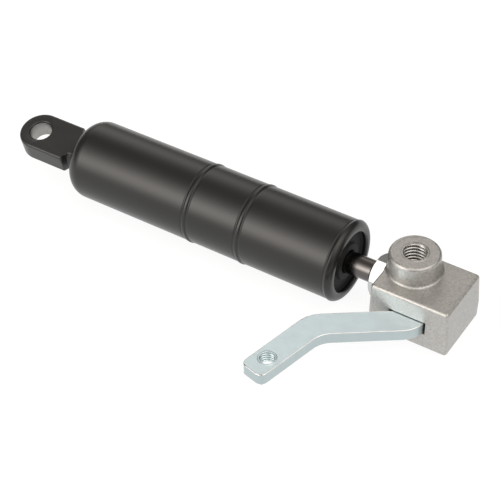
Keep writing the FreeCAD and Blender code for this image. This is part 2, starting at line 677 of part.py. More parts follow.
# Release head: a die casting with drafted walls, a threaded boss and a slot for the lever
def make_release_head():
    body = new_body("release_head")
    corners = [("head_start", "-head_front"), ("head_end", "-head_front"),
               ("head_end", "head_back"), ("head_start", "head_back")]
    for name, height, reverse in (("head_upper", "head_top + parting_drop", False),
                                  ("head_lower", "head_bottom - parting_drop", True)):
        sketch = new_sketch(body, name + "_plan", "XY_Plane", {"z": "-parting_drop"})
        draw_outline(sketch, corners)
        half = pad(body, name, sketch, height, reverse=reverse)
        half.setExpression("TaperAngle", formula("-head_draft"))
        doc.recompute()

    def outer_edge(edge, middle):
        return not near(middle.z, -value("parting_drop"))

    dress(body, "Fillet", "head_edges", outer_edge, "head_edge_round")
    on_boss_axis = {"plane": "XZ_Plane", "offset": {"x": "boss_axis_x"}, "axis": "V_Axis"}
    foot_under = "head_top - head_edge_round"
    foot_radius = "boss_base_radius + boss_foot_round"
    turn(body, "boss_foot", [
        ("0", foot_under), (foot_radius, foot_under), (foot_radius, "head_top"),
        ("boss_base_radius", "foot_top"), ("0", "foot_top"),
    ], {2: ("boss_foot_round", -1)}, **on_boss_axis)
    doc.recompute()
    lean = "(foot_top + parting_drop) * tan(head_draft)"
    near_trim = new_sketch(body, "near_foot_trim_plan", "XZ_Plane")
    draw_outline(near_trim, [("nut_start", "-parting_drop"), ("head_start", "-parting_drop"),
                             ("head_start + " + lean, "foot_top"), ("nut_start", "foot_top")])
    pocket(body, "near_foot_trim", near_trim, side="Symmetric")
    back_trim = new_sketch(body, "back_foot_trim_plan", "YZ_Plane")
    past_back = "head_back + boss_base_radius"
    draw_outline(back_trim, [("head_back", "-parting_drop"), (past_back, "-parting_drop"),
                             (past_back, "foot_top"), ("head_back - " + lean, "foot_top")])
    pocket(body, "back_foot_trim", back_trim, side="Symmetric")
    turn(body, "boss", [
        ("0", "-parting_drop"), ("boss_base_radius", "-parting_drop"), ("boss_base_radius", "head_top"),
        ("boss_rim_radius", "boss_end - boss_rim_round"),
        ("boss_rim_radius - boss_rim_round", "boss_end"), ("0", "boss_end"),
    ], {3: ("boss_rim_round", 1)}, **on_boss_axis)
    doc.recompute()
    face = new_sketch(body, "boss_face_plan", "XY_Plane", {"z": "boss_end"})
    draw_circle(face, "boss_axis_x + boss_face_shift", "0", "boss_face_radius")
    pocket(body, "boss_face", face, "boss_face_step")
    lead_radius = "boss_thread_radius + boss_thread_lead"
    thread_floor = "boss_top - boss_thread_depth"
    turn(body, "boss_thread", [
        ("0", "boss_top + 1"), ("0", thread_floor), ("boss_thread_radius", thread_floor),
        ("boss_thread_radius", "boss_top - boss_thread_lead"), (lead_radius, "boss_top"),
        (lead_radius, "boss_top + 1"),
    ], kind="Groove", **on_boss_axis)
    turn(body, "rod_hole", [
        ("head_start - 1", "0"), ("rod_end_x + thread_bore_slack", "0"),
        ("rod_end_x + thread_bore_slack", "rod_radius"), ("head_start - 1", "rod_radius"),
    ], kind="Groove")
    doc.recompute()
    slot = new_sketch(body, "slot_plan", "XY_Plane", {"z": "slot_level"})
    draw_outline(slot, [("slot_near", "-head_front - 2"), ("slot_far", "-head_front - 2"),
                        ("slot_far", "slot_reach - slot_corner_round"),
                        ("slot_far - slot_corner_round", "slot_reach"),
                        ("slot_near + slot_corner_round", "slot_reach"),
                        ("slot_near", "slot_reach - slot_corner_round")],
                 {2: ("slot_corner_round", 1), 4: ("slot_corner_round", 1)})
    pocket(body, "lever_slot", slot, "slot_height", side="Symmetric")
    hole = new_sketch(body, "pivot_hole_plan", "XY_Plane", {"z": "pivot_rise"})
    draw_circle(hole, "pivot_place_x", "pivot_place_y", "pivot_radius")
    pocket(body, "pivot_hole", hole)
    return body


def make_lever_pivot_pin():
    body = new_body("lever_pivot_pin")
    sketch = new_sketch(body, "pivot_pin_plan", "XY_Plane", {"z": "pivot_recess - head_bottom"})
    draw_circle(sketch, "pivot_place_x", "pivot_place_y", "pivot_radius")
    pad(body, "pivot_pin_length", sketch, "pivot_rise + head_bottom - pivot_recess")
    return body


# Release lever: a cranked flat lever, with a hub on the pivot, a heel and a nose in the head
def make_release_lever():
    body = new_body("release_lever")
    arm, root, mean = "lever_arm_angle", "lever_root_angle", "(lever_arm_angle + lever_root_angle) / 2"
    reach = ("(lever_root_offset + sin(lever_root_angle) * lever_hole_back"
             " - cos(lever_root_angle) * lever_hole_out)"
             " / sin(lever_root_angle - lever_arm_angle)")
    bend_x = f"hole_place_x + {reach} * cos({arm})"
    bend_y = f"hole_place_y + {reach} * sin({arm})"
    miter = "half_width / cos((lever_arm_angle - lever_root_angle) / 2)"
    end_x = f"hole_place_x - lever_end_margin * cos({arm})"
    end_y = f"hole_place_y - lever_end_margin * sin({arm})"
    heel_x = "pivot_place_x + lever_heel_reach"
    heel_centre_x = "lever_heel_reach - lever_heel_round"
    heel_centre_y = (f"(sin({root}) * ({heel_centre_x}) - lever_root_offset - half_width + lever_heel_round)"
                     f" / cos({root})")
    far_offset = "(lever_root_offset - half_width)"
    hub_run = f"sqrt(lever_hub_radius ^ 2 - {far_offset} ^ 2)"
    nose_rise = "sqrt(lever_hub_radius ^ 2 - lever_nose_reach ^ 2)"
    corners = [
        (f"{end_x} - half_width * sin({arm})", f"{end_y} + half_width * cos({arm})"),
        (f"{end_x} + half_width * sin({arm})", f"{end_y} - half_width * cos({arm})"),
        (f"{bend_x} + {miter} * sin({mean})", f"{bend_y} - {miter} * cos({mean})"),
        (f"pivot_place_x + {heel_centre_x} + lever_heel_round * sin({root})",
         f"pivot_place_y + {heel_centre_y} - lever_heel_round * cos({root})"),
        (heel_x, f"pivot_place_y + {heel_centre_y}"),
        (heel_x, "lever_nose_past"),
        ("nose_face_x", "lever_nose_past"),
        ("nose_face_x", f"pivot_place_y + {nose_rise}"),
        (f"pivot_place_x - {hub_run} * cos({root}) + {far_offset} * sin({root})",
         f"pivot_place_y - {hub_run} * sin({root}) - {far_offset} * cos({root})"),
        (f"{bend_x} - {miter} * sin({mean})", f"{bend_y} + {miter} * cos({mean})"),
    ]
    arcs = {3: ("lever_heel_round", 1), 7: ("lever_hub_radius", 1)}
    sketch = new_sketch(body, "lever_plan", "XY_Plane", {"z": "slot_level"})
    draw_outline(sketch, corners, arcs)
    pad(body, "lever_blank", sketch, "lever_thickness", "Symmetric")
    places = [FreeCAD.Vector(value(x), value(y), 0) for x, y in corners]

    def upright_at(numbers):
        def test(edge, middle):
            flat = FreeCAD.Vector(middle.x, middle.y, 0)
            return is_line_along(edge, "z") and any((flat - places[k]).Length < 0.01 for k in numbers)

        return test

    dress(body, "Fillet", "lever_bends", upright_at((2, 9)), "lever_bend_round")
    dress(body, "Fillet", "lever_free_corners", upright_at((0, 1)), "lever_end_round")
    dress(body, "Fillet", "lever_nose_corners", upright_at((5, 6)), "lever_nose_round")
    holes = new_sketch(body, "lever_holes_plan", "XY_Plane")
    draw_circle(holes, "pivot_place_x", "pivot_place_y", "pivot_radius + slide_gap")
    draw_circle(holes, "hole_place_x", "hole_place_y", "lever_hole_radius")
    pocket(body, "lever_holes", holes, side="Symmetric")

    def hole_rim(edge, middle):
        distance = math.hypot(middle.x - value("hole_place_x"), middle.y - value("hole_place_y"))
        return edge.Curve.TypeId == "Part::GeomCircle" and near(distance, value("lever_hole_radius"))

    dress(body, "Chamfer", "lever_hole_lead_in", hole_rim, "lever_hole_lead")
    return body


guide_middle = "guide_start + guide_length / 2"
separator_middle = "separator_start + separator_length / 2"
ring_near = "piston_ring_x - piston_ring_width / 2"
pieces = [make_mounting_eye(), make_pressure_tube()]
for ring_name, ring_start in (("guide_snap_ring", "guide_ring_start"),
                              ("separator_stop_ring", "separator_ring_start"),
                              ("piston_stop_ring", "piston_stop_start")):
    pieces.append(make_snap_ring(ring_name, ring_start))
pieces += [
    make_rod_guide(),
    plain_ring("guide_bearing", "guide_start + bearing_inset", "guide_start + guide_length - bearing_inset",
               "rod_slide_radius", "rod_slide_radius + bearing_wall"),
    pressed_seal("guide_o_ring", guide_middle, "fit_radius - cord_radius"),
    make_rod_seal(),
    plain_ring("seal_washer", "washer_start", "guide_start", "rod_radius + disc_gap", "fit_radius"),
    make_end_disc(),
    make_separating_piston(),
    pressed_seal("separator_outer_o_ring", separator_middle, "fit_radius - cord_radius"),
    pressed_seal("separator_inner_o_ring", separator_middle, "rod_slide_radius + cord_radius"),
    make_piston(),
    plain_ring("piston_ring", ring_near, ring_near + " + piston_ring_width",
               "fit_radius - piston_ring_section", "fit_radius"),
    plain_ring("valve_o_ring_inner", "seat_end", "inner_seal_end", "rod_bore_radius",
               "valve_bore_radius"),
    make_valve_spacer(),
    plain_ring("valve_o_ring_outer", "spacer_end", "outer_seal_end", "rod_bore_radius",
               "valve_bore_radius"),
    plain_ring("valve_washer", "outer_seal_end", "rod_start", "rod_bore_radius + slide_gap",
               "valve_bore_radius"),
    make_valve_tappet(),
    make_piston_rod(),
    make_release_pin(),
    make_lock_nut(),
    make_release_head(),
    make_lever_pivot_pin(),
    make_release_lever(),
]
doc.recompute()

for thing in doc.Objects:
    if "Invalid" in thing.State or "Error" in thing.State:
        raise RuntimeError(f"{thing.Name} failed: {thing.State}")
for body in pieces:
    if body.Shape.isNull() or not body.Shape.isValid() or not body.Shape.Solids:
        raise RuntimeError(f"{body.Label} has no valid solid")

os.makedirs("parts", exist_ok=True)
for body in pieces:
    body.Shape.exportStep(f"parts/{body.Label}.step")
    print(body.Label, round(body.Shape.Volume, 1), len(body.Shape.Solids))
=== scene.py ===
"""Dresses the lockable lift support in its paint, plating and casting, in a pale studio.

Sizes are in millimetres. The frame is the part's own: the origin is the centre of the eye's bore,
+X runs along the spring to the release head, and +Z is the axis of the head's threaded boss.
"""
import json
import logging
import math
from collections.abc import Sequence
from dataclasses import dataclass, field
from enum import Enum

import bpy
import numpy as np
from mathutils import Matrix


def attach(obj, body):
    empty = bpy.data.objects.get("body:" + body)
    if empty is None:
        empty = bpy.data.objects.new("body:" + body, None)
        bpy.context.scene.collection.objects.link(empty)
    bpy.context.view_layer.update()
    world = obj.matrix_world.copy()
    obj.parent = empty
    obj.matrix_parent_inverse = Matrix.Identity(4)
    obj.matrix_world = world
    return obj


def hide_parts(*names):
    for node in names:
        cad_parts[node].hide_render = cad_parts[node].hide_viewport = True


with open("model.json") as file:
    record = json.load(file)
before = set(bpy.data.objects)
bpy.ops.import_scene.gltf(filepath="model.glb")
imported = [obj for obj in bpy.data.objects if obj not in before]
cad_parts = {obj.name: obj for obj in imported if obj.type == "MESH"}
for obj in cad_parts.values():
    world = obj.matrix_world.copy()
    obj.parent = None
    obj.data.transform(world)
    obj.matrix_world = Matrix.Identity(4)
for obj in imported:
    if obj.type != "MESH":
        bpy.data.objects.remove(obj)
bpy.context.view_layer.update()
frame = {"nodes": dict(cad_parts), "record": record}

MM = 0.001
SLACK = 0.02  # how far from a face or a corner a place may lie and still count as on it
CLOUD_RANGE = (0.3, 0.7)  # where nearly all values of a cloudy pattern lie
Colour = tuple[float, float, float]
Socket = bpy.types.NodeSocket
Material = bpy.types.Material
log = logging.getLogger("lift_support")


class Axis(Enum):
    """The axis that a piece is turned about, as the columns of its length and its two cross directions."""

    ALONG_SPRING = (0, 1, 2)
    UPRIGHT = (2, 0, 1)


class Working(Enum):
    """How a bare surface was worked, as the stretch of its fine marks along x, y and z."""

    ROLLED = (0.25, 1.0, 1.0)
    SHEARED = (1.0, 1.0, 0.12)
    ROUND_THE_SPRING = (6.0, 0.35, 0.35)
    ROUND_THE_BOSS = (0.35, 0.35, 6.0)
    EVEN = (1.0, 1.0, 1.0)


@dataclass
class Surface:
    """A closed shape in millimetres, with faces of four corners; a triangle says one corner twice."""

    points: np.ndarray
    faces: np.ndarray

    def welded(self, decimals: int = 4) -> "Surface":
        """Joins points that lie on one another, which closes the seams and the poles.

        Args:
            decimals: Points are the same where they agree to so many decimals of a millimetre.

        Returns:
            The same shape with each place said once, without faces that have shrunk to a line.
        """
        _, first, number = np.unique(np.round(self.points, decimals), axis=0, return_index=True,
                                     return_inverse=True)
        faces = number.reshape(-1)[self.faces]
        distinct = (faces != np.roll(faces, -1, axis=1)).sum(axis=1)
        return Surface(self.points[first], faces[distinct > 2])

    def outward(self) -> "Surface":
        """Turns the faces outwards, by the sign of the volume: the sum of a . (b x c) / 6 over triangles.

        Returns:
            The same shape with every face pointing out.
        """
        a, b, c, d = (self.points[self.faces[:, k]] for k in range(4))
        volume = (np.cross(b, c) * a).sum() + (np.cross(c, d) * a).sum()
        return self if volume > 0 else Surface(self.points, self.faces[:, ::-1])

    def to_object(self, name: str, finishes: Sequence[Material],
                  finish_of_face: np.ndarray | None = None) -> bpy.types.Object:
        """Puts the shape into a smooth-shaded object at the origin.

        Args:
            name: The object's name.
            finishes: Its materials.
            finish_of_face: The number of each face's material, or None where there is one for all.

        Returns:
            The new object, linked to the scene.
        """
        corner = self.faces != np.roll(self.faces, -1, axis=1)
        totals = corner.sum(axis=1)
        mesh = bpy.data.meshes.new(name)
        mesh.vertices.add(len(self.points))
        mesh.vertices.foreach_set("co", (self.points * MM).ravel())
        mesh.loops.add(int(totals.sum()))
        mesh.loops.foreach_set("vertex_index", self.faces[corner].astype(np.int32))
        mesh.polygons.add(len(self.faces))
        starts = np.concatenate([[0], np.cumsum(totals)[:-1]]).astype(np.int32)
        mesh.polygons.foreach_set("loop_start", starts)
        mesh.polygons.foreach_set("use_smooth", np.ones(len(self.faces), dtype=bool))
        for finish in finishes:
            mesh.materials.append(finish)
        if finish_of_face is not None:
            mesh.polygons.foreach_set("material_index", finish_of_face.astype(np.int32))
        mesh.update(calc_edges=True)
        mesh.validate()
        thing = bpy.data.objects.new(name, mesh)
        bpy.context.scene.collection.objects.link(thing)
        return thing


def ring_of_rings(points: np.ndarray) -> Surface:
    """Closes a grid of points both ways: its last row meets the first, and its last column the first.

    Args:
        points: The grid, as rows x columns x 3.

    Returns:
        A closed shape whose faces point outwards.
    """
    rows, columns = points.shape[:2]
    row, column = np.meshgrid(np.arange(rows), np.arange(columns), indexing="ij")
    after_row, after_column = (row + 1) % rows, (column + 1) % columns
    corners = [row * columns + column, after_row * columns + column,
               after_row * columns + after_column, row * columns + after_column]
    faces = np.stack(corners, axis=-1).reshape(-1, 4)
    return Surface(points.reshape(-1, 3), faces).welded().outward()


def turned(outline: np.ndarray, axis: Axis = Axis.ALONG_SPRING, middle: tuple[float, float] = (0.0, 0.0),
           steps: int = 192) -> Surface:
    """Carries a closed outline round an axis: length = l(s), across = middle + r(s) (cos a, sin a).

    Args:
        outline: Rows of length along the axis and radius.
        axis: The axis to turn about.
        middle: Where that axis crosses the other two directions.
        steps: How many places round the axis.

    Returns:
        The turned shape.
    """
    angle = np.linspace(0, 2 * np.pi, steps, endpoint=False)
    length, radius = outline.T
    along, side, rise = axis.value
    points = np.empty((steps, len(outline), 3))
    points[..., along] = length
    points[..., side] = middle[0] + np.outer(np.cos(angle), radius)
    points[..., rise] = middle[1] + np.outer(np.sin(angle), radius)
    return ring_of_rings(points)


def arc(centre: tuple[float, float], radius: float, start: float, end: float, steps: int) -> np.ndarray:
    """Places on an arc: centre + radius (cos a, sin a), for a from start to end in degrees.

    Args:
        centre: The arc's centre.
        radius: Its radius.
        start: The first angle.
        end: The last angle.
        steps: How many places.

    Returns:
        Rows of two coordinates.
    """
    angle = np.radians(np.linspace(start, end, steps))
    return np.array(centre) + radius * np.stack([np.cos(angle), np.sin(angle)], axis=1)


def rounded(corners: Sequence[tuple[float, float, float]], steps: int = 6) -> np.ndarray:
    """Rounds the corners of a closed outline with arcs that touch both of a corner's sides.

    Args:
        corners: Each corner's two coordinates and the radius of its arc, 0 for none.
        steps: How many places on each arc.

    Returns:
        Rows of two coordinates.
    """
    places = np.array([corner[:2] for corner in corners], dtype=float)
    parts = []
    for before, here, after, (_, _, radius) in zip(np.roll(places, 1, axis=0), places,
                                                   np.roll(places, -1, axis=0), corners):
        if radius <= 0:
            parts.append(here[None])
            continue
        back = (before - here) / np.linalg.norm(before - here)
        forth = (after - here) / np.linalg.norm(after - here)
        half = math.acos(np.clip(back @ forth, -1, 1)) / 2
        bisector = (back + forth) / np.linalg.norm(back + forth)
        centre = here + bisector * radius / math.sin(half)
        first, last = (here + side * radius / math.tan(half) - centre for side in (back, forth))
        share = np.linspace(0, 1, steps)[:, None]
        spread = math.pi - 2 * half
        blend = np.sin((1 - share) * spread) * first + np.sin(share * spread) * last
        parts.append(centre + blend / math.sin(spread))
    return np.concatenate(parts)


def braced(outline: np.ndarray, inset: float = 0.12) -> np.ndarray:
    """Adds a place just inside both ends of each long run, so that straight runs keep a straight shade.

    Args:
        outline: A closed outline.
        inset: Distance of the added places from the run's ends.

    Returns:
        The outline with the added places.
    """
    run = np.roll(outline, -1, axis=0) - outline
    length = np.linalg.norm(run, axis=1, keepdims=True)
    step = run / np.maximum(length, 1e-9) * inset
    after = outline + run
    rows = np.stack([outline, outline + step, after - step], axis=1)
    is_long = length[:, 0] > 4 * inset
    return rows[np.stack([np.ones_like(is_long), is_long, is_long], axis=1)]


def tinted(colour: Colour, share: float) -> Colour:
    """The colour with each of its channels multiplied by the share, up to 1."""
    return tuple(min(channel * share, 1.0) for channel in colour)


class Tree:
    """A material's nodes, with one short call for each kind that the finishes use."""

    def __init__(self, name: str) -> None:
        """Starts a material.

        Args:
            name: The material's name.
        """
        self.material = bpy.data.materials.new(name)
        self.material.use_nodes = True
        self.nodes = self.material.node_tree.nodes
        self.shader = self.nodes["Principled BSDF"]
        self.place = self.nodes.new("ShaderNodeTexCoord").outputs["Object"]

    def link(self, output: Socket, entry: Socket) -> None:
        """Joins an output to an input."""
        self.material.node_tree.links.new(output, entry)

    def set(self, name: str, number: float) -> None:
        """Sets a number on one of the shader's own inputs."""
        self.shader.inputs[name].default_value = number

    def feed(self, name: str, output: Socket) -> None:
        """Joins an output to one of the shader's own inputs."""
        self.link(output, self.shader.inputs[name])

    def scaled(self, stretch: tuple[float, float, float]) -> Socket:
        """Scales Object coordinates.

        Args:
            stretch: What they are multiplied by along x, y and z.

        Returns:
            The scaled coordinates.
        """
        node = self.nodes.new("ShaderNodeMapping")
        node.inputs["Scale"].default_value = stretch
        self.link(self.place, node.inputs["Vector"])
        return node.outputs["Vector"]

    def noise(self, size: float, detail: float = 2.0, place: Socket | None = None,
              rough: float = 0.5) -> Socket:
        """A cloudy pattern from 0 to 1.

        Args:
            size: Width of its largest clouds in millimetres.
            detail: How many times finer clouds are added.
            place: Coordinates that it reads, or None for Object coordinates.
            rough: How strong each finer cloud is.

        Returns:
            The pattern.
        """
        node = self.nodes.new("ShaderNodeTexNoise")
        node.inputs["Scale"].default_value = 1 / (size * MM)
        node.inputs["Detail"].default_value = detail
        node.inputs["Roughness"].default_value = rough
        self.link(self.place if place is None else place, node.inputs["Vector"])
        return node.outputs["Fac"]

    def spread(self, value: Socket, start: float, end: float, low: float, high: float) -> Socket:
        """Stretches a value from one range to another, and holds it there.

        Args:
            value: The value.
            start: Where the result is low.
            end: Where the result is high.
            low: The least result.
            high: The largest result.

        Returns:
            The stretched value.
        """
        node = self.nodes.new("ShaderNodeMapRange")
        for name, number in (("From Min", start), ("From Max", end), ("To Min", low), ("To Max", high)):
            node.inputs[name].default_value = number
        self.link(value, node.inputs["Value"])
        return node.outputs["Result"]

    def between(self, value: Socket, low: Colour | Socket, high: Colour | Socket) -> Socket:
        """Mixes two colours.

        Args:
            value: The mix, from 0 to 1.
            low: The colour where it is 0.
            high: The colour where it is 1.

        Returns:
            The mixed colour.
        """
        node = self.nodes.new("ShaderNodeMix")
        node.data_type = "RGBA"
        self.link(value, node.inputs["Factor"])
        for name, colour in (("A", low), ("B", high)):
            entry = next(i for i in node.inputs if i.name == name and i.type == "RGBA")
            if isinstance(colour, tuple):
                entry.default_value = (*colour, 1)
            else:
                self.link(colour, entry)
        return next(o for o in node.outputs if o.type == "RGBA")

    def clouded(self, colour: Colour, tints: tuple[float, float], cloud: Socket) -> Socket:
        """A colour that a cloudy pattern varies between two of its tints.

        Args:
            colour: The colour.
            tints: What it is multiplied by where the pattern is 0, and where it is 1.
            cloud: The pattern.

        Returns:
            The varied colour.
        """
        low, high = (tinted(colour, tint) for tint in tints)
        return self.between(cloud, low, high)

    def bump(self, height: Socket, depth: float,
             under: Socket | None = None) -> Socket:
        """Roughens the surface by a pattern.

        Args:
            height: The pattern.
            depth: How high it stands, in millimetres.
            under: A coarser roughening that this one lies on.

        Returns:
            The roughened normal.
        """
        node = self.nodes.new("ShaderNodeBump")
        node.inputs["Distance"].default_value = depth * MM
        self.link(height, node.inputs["Height"])
        if under is not None:
            self.link(under, node.inputs["Normal"])
        return node.outputs["Normal"]


@dataclass(frozen=True)
class SatinPaint:
    """Baked satin paint: nearly black, faintly cloudy and faintly peeled."""

    name: str = "satin_paint"
    colour: Colour = (0.0125, 0.0121, 0.0117)
    gloss: float = 0.29
    peel_size: float = 2.4
    peel_height: float = 0.0012
    cloud_size: float = 22.0
    cloud_tints: tuple[float, float] = (0.8, 1.25)

    def build(self) -> Material:
        """Makes the material and returns it."""
        tree = Tree(self.name)
        cloud = tree.noise(self.cloud_size, detail=3.0)
        tree.feed("Base Color", tree.clouded(self.colour, self.cloud_tints, cloud))
        tree.set("Roughness", self.gloss)
        tree.feed("Normal", tree.bump(tree.noise(self.peel_size, detail=1.0), self.peel_height))
        return tree.material


@dataclass(frozen=True)
class BareMetal:
    """Bare or plated metal, with fine marks from its working and faint stains."""

    name: str
    colour: Colour
    gloss: float
    working: Working = Working.EVEN
    mark_size: float = 0.3
    mark_depth: float = 0.002
    stain: float = 0.12
    stain_size: float = 5.0
    unevenness: float = 0.15

    def build(self) -> Material:
        """Makes the material and returns it."""
        tree = Tree(self.name)
        marks = tree.noise(self.mark_size, detail=3.0, place=tree.scaled(self.working.value))
        stains = tree.noise(self.stain_size, detail=4.0)
        tree.feed("Base Color", tree.clouded(self.colour, (1 - self.stain, 1 + self.stain), stains))
        smooth, rough = self.gloss * (1 - self.unevenness), self.gloss * (1 + self.unevenness)
        tree.feed("Roughness", tree.spread(marks, *CLOUD_RANGE, smooth, rough))
        tree.set("Metallic", 1.0)
        tree.feed("Normal", tree.bump(marks, self.mark_depth))
        return tree.material


@dataclass(frozen=True)
class DieCasting:
    """Bare die casting: grainy all over and softly uneven, with painted shade in the grain's hollows and in
    small pits.
    """

    name: str = "die_casting"
    colour: Colour = (0.55, 0.54, 0.52)
    smoothest: float = 0.36
    roughest: float = 0.5
    metal: float = 0.9
    grain_size: float = 1.0
    grain_height: float = 0.07
    grain_hollow_shade: float = 0.76
    grain_limits: tuple[float, float] = (0.35, 0.65)
    swell_size: float = 6.0
    swell_height: float = 0.08
    swell_tints: tuple[float, float] = (0.92, 1.06)
    pit_size: float = 0.9
    pit_shade_tint: float = 0.62
    pit_limits: tuple[float, float] = (0.62, 0.72)

    def build(self) -> Material:
        """Makes the material and returns it."""
        tree = Tree(self.name)
        grain = tree.noise(self.grain_size, detail=3.0, rough=0.6)
        swell = tree.noise(self.swell_size)
        lit = tree.spread(grain, *self.grain_limits, 0.0, 1.0)
        pits = tree.spread(tree.noise(self.pit_size), *self.pit_limits, 0.0, 1.0)
        cloudy = tree.clouded(self.colour, self.swell_tints, swell)
        # Painted shade: the grain's hollows, where its bump is low, are darker.
        speckled = tree.between(lit, tinted(self.colour, self.grain_hollow_shade), cloudy)
        # Painted shade: small dark spots that stand for the shade in pits.
        tree.feed("Base Color", tree.between(pits, speckled, tinted(self.colour, self.pit_shade_tint)))
        tree.feed("Roughness", tree.spread(grain, *CLOUD_RANGE, self.smoothest, self.roughest))
        tree.set("Metallic", self.metal)
        uneven = tree.bump(swell, self.swell_height)
        tree.feed("Normal", tree.bump(grain, self.grain_height, uneven))
        return tree.material


@dataclass(frozen=True)
class Rubber:
    """Black rubber or filled plastic, matt, with a fine moulded grain."""

    name: str
    colour: Colour
    gloss: float = 0.62
    unevenness: float = 0.05
    cloud_size: float = 2.0
    cloud_tints: tuple[float, float] = (0.8, 1.2)
    grain_size: float = 0.15
    grain_height: float = 0.004

    def build(self) -> Material:
        """Makes the material and returns it."""
        tree = Tree(self.name)
        cloud = tree.noise(self.cloud_size, detail=3.0)
        tree.feed("Base Color", tree.clouded(self.colour, self.cloud_tints, cloud))
        smooth, rough = self.gloss - self.unevenness, self.gloss + self.unevenness
        tree.feed("Roughness", tree.spread(cloud, *CLOUD_RANGE, smooth, rough))
        tree.feed("Normal", tree.bump(tree.noise(self.grain_size), self.grain_height))
        return tree.material


@dataclass
class Finishes:
    """All the finishes of the lift support, by the record's material slots."""

    by_slot: dict[str, Material] = field(default_factory=dict)
    bare_bore: Material | None = None
    cut_edge: Material | None = None
    edge_highlight: Material | None = None
    cut_thread: Material | None = None
    plated_thread: Material | None = None

    def build(self) -> "Finishes":
        """Makes every material.

        Returns:
            These finishes, filled in.
        """
        for_slot = {
            "tube_black": SatinPaint(),
            "eye_black": SatinPaint("eye_paint", (0.023, 0.022, 0.0215), 0.3, peel_size=1.6,
                                    peel_height=0.01),
            "disc_black": SatinPaint("disc_paint", (0.002, 0.0019, 0.0018), 0.75, peel_size=1.4,
                                     peel_height=0.004),
            "rod_dark": BareMetal("nitrided_rod", (0.13, 0.122, 0.118), 0.2, Working.ROUND_THE_SPRING,
                                  mark_size=0.5, mark_depth=0.001),
            "zinc_bright": BareMetal("bright_zinc", (0.56, 0.57, 0.57), 0.24, mark_size=0.6,
                                     mark_depth=0.0004, stain=0.03),
            "zinc_blue": BareMetal("blue_zinc", (0.73, 0.855, 0.91), 0.38, Working.ROLLED, mark_size=0.9,
                                   mark_depth=0.012, stain=0.07),
            "cast_grey": DieCasting(),
            "spring_steel": BareMetal("spring_steel", (0.2, 0.2, 0.21), 0.4),
            "turned_steel": BareMetal("turned_steel", (0.5, 0.5, 0.5), 0.3, Working.ROUND_THE_SPRING),
            "turned_aluminium": BareMetal("turned_aluminium", (0.68, 0.69, 0.7), 0.32,
                                          Working.ROUND_THE_SPRING),
            "bearing_bronze": BareMetal("bearing_bronze", (0.55, 0.4, 0.22), 0.36),
            "valve_brass": BareMetal("valve_brass", (0.62, 0.5, 0.26), 0.28, Working.ROUND_THE_SPRING),
            "seal_rubber": Rubber("seal_rubber", (0.03, 0.03, 0.03)),
            "ring_plastic": Rubber("ring_plastic", (0.12, 0.12, 0.11), 0.5),
        }
        self.by_slot = {slot: finish.build() for slot, finish in for_slot.items()}
        self.bare_bore = BareMetal("bare_bore", (0.35, 0.345, 0.33), 0.4, mark_size=0.5,
                                   mark_depth=0.006, stain=0.3).build()
        self.cut_edge = BareMetal("sheared_zinc", (0.48, 0.555, 0.565), 0.34, Working.SHEARED,
                                  mark_size=0.9, mark_depth=0.03, stain=0.03).build()
        # Painted highlight: a near-white finish on the lever's bevelled edges, standing in for the light that
        # they catch.
        self.edge_highlight = BareMetal("edge_highlight_zinc", (0.9, 0.88, 0.87), 0.22, mark_size=1.5,
                                        mark_depth=0.01, stain=0.3).build()
        self.cut_thread = BareMetal("cut_thread", (0.56, 0.55, 0.535), 0.24, Working.ROUND_THE_BOSS,
                                    mark_size=0.4).build()
        self.plated_thread = BareMetal("plated_thread", (0.6, 0.7, 0.72), 0.22, stain=0.3).build()
        return self


def hang(piece: bpy.types.Object, body: str, slot: str, *nodes: str) -> None:
    """Hangs a piece on a body and hides the CAD nodes that it replaces.

    Args:
        piece: The new piece.
        body: The body that it moves with.
        slot: Not used.
        nodes: The CAD nodes that it replaces.
    """
    if nodes:
        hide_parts(*nodes)
    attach(piece, body)
    log.info("%s rides on %s with %d faces", piece.name, body, len(piece.data.polygons))


def merged(node: str) -> Surface:
    """A CAD node's triangles with their corners joined, as a shape of its own.

    Args:
        node: The node's name.

    Returns:
        The node's shape in millimetres.
    """
    mesh = frame["nodes"][node].data
    points = np.empty(len(mesh.vertices) * 3)
    mesh.vertices.foreach_get("co", points)
    corners = np.empty(len(mesh.loops), dtype=np.int64)
    mesh.loops.foreach_get("vertex_index", corners)
    triangles = corners.reshape(-1, 3)
    return Surface(points.reshape(-1, 3) / MM, triangles[:, [0, 1, 2, 2]]).welded()


def face_normals(shape: Surface) -> np.ndarray:
    """Works out each face's normal, (b - a) x (c - a) divided by its length.

    Args:
        shape: The shape.

    Returns:
        Rows of the unit normals.
    """
    a, b, c = (shape.points[shape.faces[:, k]] for k in range(3))
    normal = np.cross(b - a, c - a)
    return normal / np.maximum(np.linalg.norm(normal, axis=1, keepdims=True), 1e-12)


def crisp(piece: bpy.types.Object, sharp_above: float = 32.0) -> None:
    """Shades a merged CAD shape smoothly within its faces and sharply over their edges.

    Args:
        piece: The piece.
        sharp_above: Edges that turn by more degrees than this stay sharp.
    """
    piece.data.set_sharp_from_angle(angle=math.radians(sharp_above))
    weighted = piece.modifiers.new("even_shade", "WEIGHTED_NORMAL")
    weighted.keep_sharp = True


